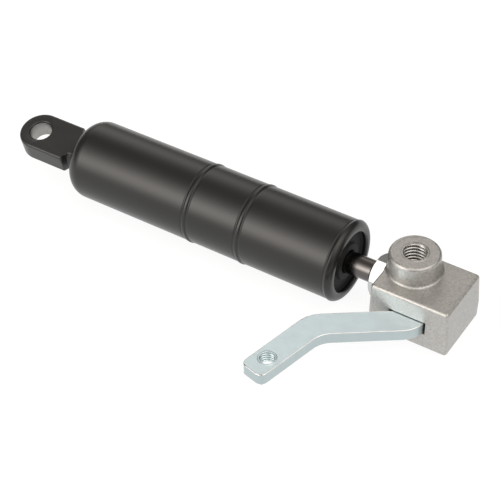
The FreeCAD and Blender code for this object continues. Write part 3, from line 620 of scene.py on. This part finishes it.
@dataclass
class PressureTube:
    """The painted tube: drawn shoulder, two rolled beads, a swollen rim and a lip rolled over the disc."""

    start: float = 25.3
    end: float = 168.5
    radius: float = 18.5
    wall: float = 2.0
    bottom_wall: float = 2.5
    bottom_hole: float = 5.4
    bottom_face: float = 9.9
    shoulder: float = 8.6
    beads: tuple[float, ...] = (93.3, 120.9)
    bead_form: tuple[tuple[float, float], ...] = (
        (-2.3, 0.0), (-1.5, -0.14), (-0.5, 0.38), (0.25, 0.38), (0.9, -0.15), (1.9, 0.0))
    rim_swell: float = 0.4
    rim_form: tuple[tuple[float, float], ...] = ((-4.1, 0.0), (-3.7, -0.1), (-2.5, 0.341))
    rim_round: float = 3.1
    lip_wall: float = 2.0
    lip_flat: float = 0.8
    mouth: float = 14.0
    ring_grooves: tuple[float, ...] = (141.1, 119.7, 92.1)
    groove_width: float = 2.4
    groove_depth: float = 0.6

    def shoulder_arc(self, radius: float, start: float, steps: int) -> np.ndarray:
        """The drawn shoulder's arc, which ends where the straight tube begins.

        Args:
            radius: The arc's radius, outside or inside.
            start: Where along the spring it begins.
            steps: How many places on it.

        Returns:
            Rows of length and radius, from the bottom to the straight tube.
        """
        lift = self.radius - self.shoulder
        run = math.sqrt(self.shoulder ** 2 - (self.bottom_face - lift) ** 2)
        centre = (self.start + run, lift)
        first = 180 - math.degrees(math.acos(min((centre[0] - start) / radius, 1.0)))
        return arc(centre, radius, first, 90, steps)

    def swelling(self, middle: float, form: Sequence[tuple[float, float]], steps: int = 7) -> np.ndarray:
        """A rolled form on the tube: its radius eases from each step to the next by 3 t t - 2 t t t.

        Args:
            middle: The place along the spring that the form is measured from.
            form: Rows of length from there and of height over the tube.
            steps: How many places between two rows.

        Returns:
            Rows of length and radius.
        """
        length, height = np.array(form).T
        share = np.linspace(0, 1, steps, endpoint=False)
        eased = share * share * (3 - 2 * share)
        x = length[:-1, None] + np.diff(length)[:, None] * share
        r = height[:-1, None] + np.diff(height)[:, None] * eased
        rows = np.stack([np.append(x.ravel(), length[-1]), np.append(r.ravel(), height[-1])], axis=1)
        return rows + np.array([middle, self.radius])

    def outside(self) -> np.ndarray:
        """The outline from the bottom's hole over the shoulder and the beads to the lip's face.

        Returns:
            Rows of length and radius.
        """
        parts = [np.array([[self.start, self.bottom_hole]]),
                 self.shoulder_arc(self.shoulder, self.start, steps=28)]
        for bead in self.beads:
            parts.append(self.swelling(bead, self.bead_form))
        face = self.radius + self.rim_swell - self.rim_round
        parts.append(self.swelling(self.end, self.rim_form))
        first = math.degrees(math.acos((self.rim_round + self.rim_form[-1][0]) / self.rim_round))
        parts.append(arc((self.end - self.rim_round, face), self.rim_round, first, 0, steps=14)[1:])
        return np.concatenate(parts)

    def inside(self) -> np.ndarray:
        """The outline from the lip's flat ring through the mouth and back down the bore.

        Returns:
            Rows of length and radius.
        """
        face = self.radius + self.rim_swell - self.rim_round
        bore = self.radius - self.wall
        lip_inside = self.end - self.lip_wall
        turn = face - self.lip_flat - self.mouth
        parts = [arc((self.end - turn, face - self.lip_flat), turn, 0, -90, steps=8),
                 np.array([[lip_inside, self.mouth], [lip_inside, bore]])]
        for start in self.ring_grooves:
            end = start + self.groove_width
            parts.append(np.array([[end, bore], [end, bore + self.groove_depth],
                                   [start, bore + self.groove_depth], [start, bore]]))
        inner = self.shoulder_arc(self.shoulder - self.wall, self.start + self.bottom_wall, steps=20)
        parts += [inner[::-1], np.array([[self.start + self.bottom_wall, self.bottom_hole]])]
        return np.concatenate(parts)

    def build(self, finishes: Finishes) -> None:
        """Makes the tube.

        Args:
            finishes: The finishes to dress it in.
        """
        outline = braced(np.concatenate([self.outside(), self.inside()]))
        tube = turned(outline, steps=256).to_object("painted_tube", [finishes.by_slot["tube_black"]])
        hang(tube, "cylinder", "tube_black", "pressure_tube")


@dataclass
class EndDisc:
    """The black disc in the tube's mouth, with a raised rim and a raised hub round the rod."""

    back: float = 165.0
    face: float = 166.5
    step: float = 0.7
    bore: float = 5.4
    hub: float = 8.9
    rim: float = 12.9
    fit: float = 16.45

    def build(self, finishes: Finishes) -> None:
        """Makes the disc.

        Args:
            finishes: The finishes to dress it in.
        """
        valley, top = self.face - self.step, self.face + self.step
        outline = rounded([
            (self.back, self.bore, 0.1), (top, self.bore, 0.2), (top, self.hub - self.step, 0.3),
            (valley, self.hub, 0.3), (valley, self.rim, 0.3), (self.face, self.rim + self.step, 0.3),
            (self.face, self.fit, 0.1), (self.back, self.fit, 0.1),
        ])
        disc = turned(braced(outline)).to_object("end_cover", [finishes.by_slot["disc_black"]])
        hang(disc, "cylinder", "disc_black", "end_disc")


@dataclass
class MountingEye:
    """The forged eye: painted outside, bare in its bore."""

    bore: float = 5.2
    roll: float = 12.2
    sharp_above: float = 75.0

    def build(self, finishes: Finishes) -> None:
        """Makes the eye.

        Args:
            finishes: The finishes to dress it in.
        """
        shape = merged("mounting_eye")
        middle = shape.points[shape.faces[:, :3]].mean(axis=1)
        roll = math.radians(self.roll)
        across = middle[:, 1] * math.cos(roll) + middle[:, 2] * math.sin(roll)
        in_bore = np.hypot(middle[:, 0], across) < self.bore + SLACK
        eye = shape.to_object("forged_eye", [finishes.by_slot["eye_black"], finishes.bare_bore], in_bore)
        crisp(eye, self.sharp_above)
        hang(eye, "cylinder", "eye_black", "mounting_eye")


@dataclass
class PistonRod:
    """The dark hollow rod, with its reduced inner end and the relief in front of the nut."""

    start: float = 44.0
    shoulder: float = 50.0
    end: float = 200.0
    radius: float = 5.0
    inner_end_radius: float = 4.2
    bore: float = 2.05
    relief_start: float = 179.8
    relief_end: float = 181.3
    relief_radius: float = 4.5
    relief_slopes: tuple[float, float] = (0.3, 0.15)

    def build(self, finishes: Finishes) -> None:
        """Makes the rod.

        Args:
            finishes: The finishes to dress it in.
        """
        r, deep = self.radius, self.relief_radius
        ramp_in, ramp_out = self.relief_slopes
        outline = rounded([
            (self.start, self.bore, 0.0), (self.end, self.bore, 0.1), (self.end, r, 0.4),
            (self.relief_end, r, 0.1), (self.relief_end - ramp_out, deep, 0.1),
            (self.relief_start + ramp_in, deep, 0.15), (self.relief_start, r, 0.15),
            (self.shoulder, r, 0.2), (self.shoulder, self.inner_end_radius, 0.1),
            (self.start, self.inner_end_radius, 0.2),
        ])
        rod = turned(braced(outline), steps=96).to_object("dark_rod", [finishes.by_slot["rod_dark"]])
        hang(rod, "rod", "rod_dark", "piston_rod")


@dataclass
class LockNut:
    """The plated nut: a hexagon with a cone over the corners of both faces.

    The braces are how far beside an edge more places lie, which keep the shade of a face even.
    """

    start: float = 181.35
    width: float = 6.0
    flats: float = 17.0
    roll: float = 39.5
    bore: float = 5.0
    face_radius: float = 8.2
    chamfer: float = 0.9
    corner_round: float = 0.35
    face_brace: float = 0.15
    side_brace: float = 0.12
    corner_gap: float = 1.2
    corner_places: int = 9
    side_places: int = 14
    sharp_above: float = 25.0

    @property
    def corner_centre(self) -> float:
        """Distance from the nut's axis to the centre of a corner's arc."""
        return (self.flats / 2 - self.corner_round) / math.cos(math.pi / 6)

    @property
    def corner_turn(self) -> float:
        """Half the angle that a corner's arc takes up round the nut's axis."""
        return math.atan2(self.corner_round / 2,
                          self.corner_centre + self.corner_round * math.cos(math.pi / 6))

    def reach(self, angle: np.ndarray) -> np.ndarray:
        """The hexagon's radius: half the flats over cos of the angle from the flat's middle, and near a
        corner c cos a + sqrt(q q - (c sin a)^2), with the corner's arc of radius q centred at c.

        Args:
            angle: Angles from the nut's first corner.

        Returns:
            The radius at each angle.
        """
        from_corner = (angle + np.pi / 6) % (np.pi / 3) - np.pi / 6
        flat = self.flats / 2 / np.cos(np.pi / 6 - np.abs(from_corner))
        rise = np.maximum(self.corner_round ** 2 - (self.corner_centre * np.sin(from_corner)) ** 2, 0)
        bent = self.corner_centre * np.cos(from_corner) + np.sqrt(rise)
        return np.where(np.abs(from_corner) < self.corner_turn, bent, flat)

    def build(self, finishes: Finishes) -> None:
        """Makes the nut: rows of length and radius from one face to the other, at angles round its axis.

        Args:
            finishes: The finishes to dress it in.
        """
        near = np.linspace(-1, 1, self.corner_places) * self.corner_turn
        gap = self.corner_turn * self.corner_gap
        flat = np.linspace(gap, math.pi / 3 - gap, self.side_places)
        sector = np.concatenate([near, flat])
        angle = (np.arange(6)[:, None] * math.pi / 3 + sector).ravel()
        reach = self.reach(angle)
        corner = self.flats / 2 / math.cos(math.pi / 6)
        slope = self.chamfer / (corner - self.face_radius)
        cut = np.maximum(reach - self.face_radius, 0) * slope
        near_face, far_face = self.start, self.start + self.width
        ring, brace = self.face_radius - self.face_brace, self.side_brace
        rows = [(near_face, self.bore), (near_face, ring), (near_face, self.face_radius),
                (near_face + cut, reach), (near_face + cut + brace, reach),
                (far_face - cut - brace, reach), (far_face - cut, reach),
                (far_face, self.face_radius), (far_face, ring), (far_face, self.bore)]
        x, r = (np.stack([np.broadcast_to(row[k], angle.shape) for row in rows], axis=1) for k in (0, 1))
        turned_by = (angle + math.radians(self.roll))[:, None]
        points = np.stack([x, r * np.cos(turned_by), r * np.sin(turned_by)], axis=-1)
        nut = ring_of_rings(points).to_object("plated_nut", [finishes.by_slot["zinc_bright"]])
        crisp(nut, self.sharp_above)
        hang(nut, "rod", "zinc_bright", "lock_nut")


@dataclass
class InternalThread:
    """A cut thread as a sleeve that lines its hole, along Z, with a flat ring flush with the hole's mouth."""

    centre: tuple[float, float]
    top: float
    bottom: float
    root: float
    pitch: float
    through: bool
    skin: float = 0.005
    cover: float = 0.55
    lip: float = 0.1
    brace_in_lips: float = 2.5
    run_in: float = 0.5
    depth_share: float = 0.54
    root_flat: float = 0.125
    crest_flat: float = 0.25
    root_gap: float = 0.015
    steps: int = 120
    rows_each_turn: int = 16

    def surface(self) -> Surface:
        """The sleeve: r = crest + depth * (1 - tooth(z / pitch - a / 2 pi)) * fade(z).

        The tooth rises and falls evenly between its flats at the root and at the crest, which are shares
        of the pitch, and the groove fades in below the mouth. The sleeve's outer wall lies in the metal.

        Returns:
            The sleeve's shape.
        """
        depth = self.depth_share * self.pitch
        crest = self.root - depth
        top, bottom = self.top - self.skin, self.bottom + self.skin
        rows = int((top - bottom) / self.pitch * self.rows_each_turn)
        z = np.linspace(top - self.lip, bottom + self.lip, rows)
        angle = np.linspace(0, 2 * np.pi, self.steps, endpoint=False)
        phase = (z[None] / self.pitch - angle[:, None] / (2 * np.pi)) % 1
        flank = 1 - self.root_flat - self.crest_flat
        ridge = np.clip((np.abs(2 * phase - 1) - self.root_flat) / flank, 0, 1)
        from_mouth = np.minimum(top - z, z - bottom) if self.through else top - z
        fade = np.clip(from_mouth / self.run_in, 0, 1)
        inner = crest + (depth - self.root_gap) * (1 - ridge) * fade
        ring = np.array([self.root + self.cover, crest + self.brace_in_lips * self.lip, crest + self.lip])
        rim = np.broadcast_to(ring, (self.steps, len(ring)))
        r = np.concatenate([rim, inner, rim[:, ::-1]], axis=1)
        ends = np.ones(len(ring))
        height = np.broadcast_to(np.concatenate([top * ends, z, bottom * ends]), r.shape)
        across = [self.centre[0] + r * np.cos(angle)[:, None], self.centre[1] + r * np.sin(angle)[:, None]]
        return ring_of_rings(np.stack([*across, height], axis=-1))

    def build(self, name: str, cut: Material, face: Material) -> bpy.types.Object:
        """Makes the sleeve, with its flat rings in the finish of the face round the hole.

        Args:
            name: The piece's name.
            cut: The finish of the turns.
            face: The finish of the rings.

        Returns:
            The piece.
        """
        shape = self.surface()
        flat = np.ptp(shape.points[shape.faces][..., 2], axis=1) < self.skin / 10
        return shape.to_object(name, [cut, face], flat)


@dataclass
class ReleaseHead:
    """The cast head, with the cut thread in its boss and the staked pin in its underside."""

    thread: InternalThread = field(default_factory=lambda: InternalThread(
        centre=(198.9, 0.0), top=20.75, bottom=8.3, root=6.0, pitch=1.75, through=False))
    pin_middle: tuple[float, float] = (205.6, -13.4)
    pin_radius: float = 2.48
    pin_bottom: float = -12.3
    pin_top: float = 7.0
    stake_radius: float = 1.0
    stake_depth: float = 0.5

    def build(self, finishes: Finishes) -> None:
        """Makes the head, its thread and its pin.

        Args:
            finishes: The finishes to dress them in.
        """
        head = merged("release_head").to_object("cast_head", [finishes.by_slot["cast_grey"]])
        crisp(head)
        hang(head, "rod", "cast_grey", "release_head")
        thread = self.thread.build("boss_thread", finishes.cut_thread, finishes.by_slot["cast_grey"])
        hang(thread, "rod", "cast_grey")
        outline = rounded([
            (self.pin_bottom + self.stake_depth, 0.0, 0.0), (self.pin_bottom, self.stake_radius, 0.2),
            (self.pin_bottom, self.pin_radius, 0.25), (self.pin_top, self.pin_radius, 0.3),
            (self.pin_top, 0.0, 0.0),
        ])
        pin = turned(braced(outline), Axis.UPRIGHT, self.pin_middle, steps=64).to_object(
            "staked_pin", [finishes.by_slot["turned_steel"]])
        hang(pin, "rod", "turned_steel", "lever_pivot_pin")


@dataclass
class ReleaseLever:
    """The cranked lever: a sheared and plated blank with a cut thread near its free end.

    Each row of corners is for a rounding in plan: the place along and across the spring of the sharp
    corner that it cuts off, how far from there it reaches, and how many times larger it is made.
    """

    edge_round: float = 0.3
    edge_segments: int = 3
    edge_above: float = 50.0
    steep: float = 0.5
    sharp_above: float = 40.0
    corners: tuple[tuple[float, float, float, float], ...] = (
        (160.671, -75.740, 2.2, 1.4), (172.340, -78.541, 2.2, 1.5),
        (180.299, -45.389, 1.925, 2.3), (169.709, -38.097, 1.925, 2.9))
    thread: InternalThread = field(default_factory=lambda: InternalThread(
        centre=(168.7, -68.0), top=1.95, bottom=-3.65, root=4.0, pitch=1.25, through=True, lip=0.04))

    def rounder(self, shape: Surface) -> Surface:
        """The blank with larger roundings at its free end and its bend.

        A rounding is stretched away from the sharp corner that it cuts off: p' = corner + wider * (p -
        corner), which keeps it a true arc that runs into the straight edges.

        Args:
            shape: The blank.

        Returns:
            The blank with its roundings stretched.
        """
        points = shape.points.copy()
        for along, across, reach, wider in self.corners:
            away = shape.points[:, :2] - np.array([along, across])
            near = np.linalg.norm(away, axis=1) < reach + SLACK
            points[near, :2] += (wider - 1.0) * away[near]
        return Surface(points, shape.faces)

    def build(self, finishes: Finishes) -> None:
        """Makes the lever and its thread.

        Args:
            finishes: The finishes to dress them in.
        """
        shape = self.rounder(merged("release_lever"))
        on_edge = np.abs(face_normals(shape)[:, 2]) < self.steep
        dress = [finishes.by_slot["zinc_blue"], finishes.cut_edge, finishes.edge_highlight]
        lever = shape.to_object("plated_lever", dress, on_edge)
        softened = lever.modifiers.new("broken_edges", "BEVEL")
        softened.width = self.edge_round * MM
        softened.segments = self.edge_segments
        softened.angle_limit = math.radians(self.edge_above)
        # The bevels take the painted edge highlight.
        softened.material = dress.index(finishes.edge_highlight)
        softened.use_clamp_overlap = False
        crisp(lever, self.sharp_above)
        hang(lever, "lever", "zinc_blue", "release_lever")
        thread = self.thread.build("lever_thread", finishes.plated_thread, finishes.by_slot["zinc_blue"])
        hang(thread, "lever", "zinc_blue")


@dataclass
class InnerParts:
    """The pieces that stay hidden in the tube, the piston and the rod."""

    def build(self, finishes: Finishes) -> None:
        """Gives every shown CAD node its finish.

        Args:
            finishes: The finishes to dress them in.
        """
        slots = {piece["node"]: piece["material_slot"] for piece in frame["record"]["subparts"]}
        for name, node in frame["nodes"].items():
            for slot in node.material_slots:
                slot.material = finishes.by_slot[slots[name]]
        log.info("%d CAD nodes dressed by their slots", len(frame["nodes"]))


@dataclass(frozen=True)
class SoftLight:
    """A soft studio light far away, brightest in its middle and fading evenly all round."""

    name: str
    azimuth: float
    elevation: float
    strength: float
    tightness: float

    def direction(self) -> tuple[float, float, float]:
        """Works out where the light is.

        Returns:
            The unit direction towards its middle.
        """
        azimuth, elevation = math.radians(self.azimuth), math.radians(self.elevation)
        level = math.cos(elevation)
        return level * math.cos(azimuth), level * math.sin(azimuth), math.sin(elevation)

    def build(self, tree: bpy.types.NodeTree, toward: Socket) -> Socket:
        """The light's brightness: strength * exp(tightness * (cos of the angle from its middle - 1)).

        Args:
            tree: The world's nodes.
            toward: The direction that is looked in.

        Returns:
            The brightness in that direction.
        """
        cosine = tree.nodes.new("ShaderNodeVectorMath")
        cosine.operation = "DOT_PRODUCT"
        cosine.inputs[1].default_value = self.direction()
        tree.links.new(toward, cosine.inputs[0])
        value = cosine.outputs["Value"]
        for operation, number in (("SUBTRACT", 1.0), ("MULTIPLY", self.tightness), ("EXPONENT", None),
                                  ("MULTIPLY", self.strength)):
            step = tree.nodes.new("ShaderNodeMath")
            step.operation = operation
            tree.links.new(value, step.inputs[0])
            if number is not None:
                step.inputs[1].default_value = number
            value = step.outputs[0]
        log.info("%s at azimuth %.0f, elevation %.0f", self.name, self.azimuth, self.elevation)
        return value


@dataclass
class Studio:
    """The pale floor, the light and the camera."""

    camera_place: tuple[float, float, float] = (419.39, -445.04, 481.55)
    camera_view: tuple[float, float, float] = (-0.41314, 0.60597, -0.67980)
    camera_up: tuple[float, float, float] = (-0.35029, 0.58330, 0.73284)
    lens: float = 116.95
    sensor: float = 36.0
    nearest: float = 10.0
    farthest: float = 50000.0
    floor_level: float = -18.92
    floor_width: float = 12000.0
    floor_grey: float = 0.5
    floor_white: float = 0.9
    shadow_grey: float = 0.16
    backdrop_grey: float = 0.8
    room: float = 0.08
    warmth: Colour = (1.045, 1.0, 0.945)
    lights: tuple[SoftLight, ...] = (
        SoftLight("key_light", 242.6, 26.6, 3.4, 25.0),
        SoftLight("key_light_below", 242.0, 12.0, 1.04, 14.0),
        SoftLight("key_light_above", 242.0, 42.0, 1.9, 14.0),
        SoftLight("back_light", 128.8, 32.6, 1.48, 20.0),
        SoftLight("top_light", 353.7, 58.0, 2.22, 6.0),
    )

    def camera(self) -> None:
        """Sets the camera where the photograph's was."""
        data = bpy.data.cameras.new("camera")
        data.lens, data.sensor_width = self.lens, self.sensor
        data.clip_start, data.clip_end = self.nearest * MM, self.farthest * MM
        holder = bpy.data.objects.new("camera", data)
        view = np.array(self.camera_view) / np.linalg.norm(self.camera_view)
        right = np.cross(view, self.camera_up)
        right /= np.linalg.norm(right)
        framed = np.eye(4)
        framed[:3] = np.stack([right, np.cross(right, view), -view, np.array(self.camera_place) * MM], axis=1)
        holder.matrix_world = Matrix(framed.tolist())
        bpy.context.scene.collection.objects.link(holder)
        bpy.context.scene.camera = holder

    def shown_white(self, tree: bpy.types.NodeTree) -> Socket:
        """Where the floor looks white: to the camera, and in reflections and through clear things.

        Args:
            tree: The floor's nodes.

        Returns:
            One for camera, glossy and transmission rays, nought for lighting ones.
        """
        rays = tree.nodes.new("ShaderNodeLightPath").outputs
        chosen = rays["Is Camera Ray"]
        for name in ("Is Glossy Ray", "Is Transmission Ray"):
            largest = tree.nodes.new("ShaderNodeMath")
            largest.operation = "MAXIMUM"
            tree.links.new(chosen, largest.inputs[0])
            tree.links.new(rays[name], largest.inputs[1])
            chosen = largest.outputs[0]
        return chosen

    def floor(self) -> None:
        """Lays the floor: white where it is seen, with a part that still takes the object's shadow."""
        half, level = self.floor_width / 2, self.floor_level
        corners = np.array([[-half, -half, level], [half, -half, level], [half, half, level],
                            [-half, half, level]])
        material = bpy.data.materials.new("pale_floor")
        material.use_nodes = True
        tree = material.node_tree
        nodes, link = tree.nodes, tree.links.new
        nodes.clear()
        plain, shaded = nodes.new("ShaderNodeBsdfDiffuse"), nodes.new("ShaderNodeBsdfDiffuse")
        for board, grey in ((plain, self.floor_grey), (shaded, self.shadow_grey)):
            board.inputs["Color"].default_value = (grey, grey, grey, 1)
        white = nodes.new("ShaderNodeEmission")
        white.inputs["Strength"].default_value = self.floor_white
        both = nodes.new("ShaderNodeAddShader")
        link(shaded.outputs[0], both.inputs[0])
        link(white.outputs[0], both.inputs[1])
        mix = nodes.new("ShaderNodeMixShader")
        link(self.shown_white(tree), mix.inputs["Fac"])
        link(plain.outputs[0], mix.inputs[1])
        link(both.outputs[0], mix.inputs[2])
        link(mix.outputs[0], nodes.new("ShaderNodeOutputMaterial").inputs["Surface"])
        ground = Surface(corners, np.array([[0, 1, 2, 3]])).to_object("floor", [material])

    def world(self) -> None:
        """Surrounds the object with a dim room and its soft lights, and shows the camera a pale backdrop."""
        world = bpy.data.worlds.new("studio")
        bpy.context.scene.world = world
        world.use_nodes = True
        tree = world.node_tree
        nodes, link = tree.nodes, tree.links.new
        nodes.clear()
        toward = nodes.new("ShaderNodeTexCoord").outputs["Generated"]
        room, backdrop = nodes.new("ShaderNodeBackground"), nodes.new("ShaderNodeBackground")
        room.inputs["Color"].default_value = (*self.warmth, 1)
        grey = self.backdrop_grey
        backdrop.inputs["Color"].default_value = (grey, grey, grey, 1)
        total = None
        for light in self.lights:
            both = nodes.new("ShaderNodeMath")
            both.operation = "ADD"
            link(light.build(tree, toward), both.inputs[0])
            if total is None:
                both.inputs[1].default_value = self.room
            else:
                link(total, both.inputs[1])
            total = both.outputs[0]
        link(total, room.inputs["Strength"])
        mix = nodes.new("ShaderNodeMixShader")
        link(nodes.new("ShaderNodeLightPath").outputs["Is Camera Ray"], mix.inputs["Fac"])
        link(room.outputs[0], mix.inputs[1])
        link(backdrop.outputs[0], mix.inputs[2])
        link(mix.outputs[0], nodes.new("ShaderNodeOutputWorld").inputs["Surface"])

    def build(self) -> None:
        """Sets up the whole studio."""
        bpy.context.scene.view_settings.view_transform = "Standard"
        self.camera()
        self.floor()
        self.world()
        log.info("studio ready")


def main() -> None:
    """Builds the studio and every sub-assembly."""
    logging.basicConfig(level=logging.INFO, format="%(name)s: %(message)s")
    Studio().build()
    finishes = Finishes().build()
    InnerParts().build(finishes)
    for assembly in (PressureTube(), EndDisc(), MountingEye(), PistonRod(), LockNut(), ReleaseHead(),
                     ReleaseLever()):
        assembly.build(finishes)


if __name__ == "__main__":
    main()
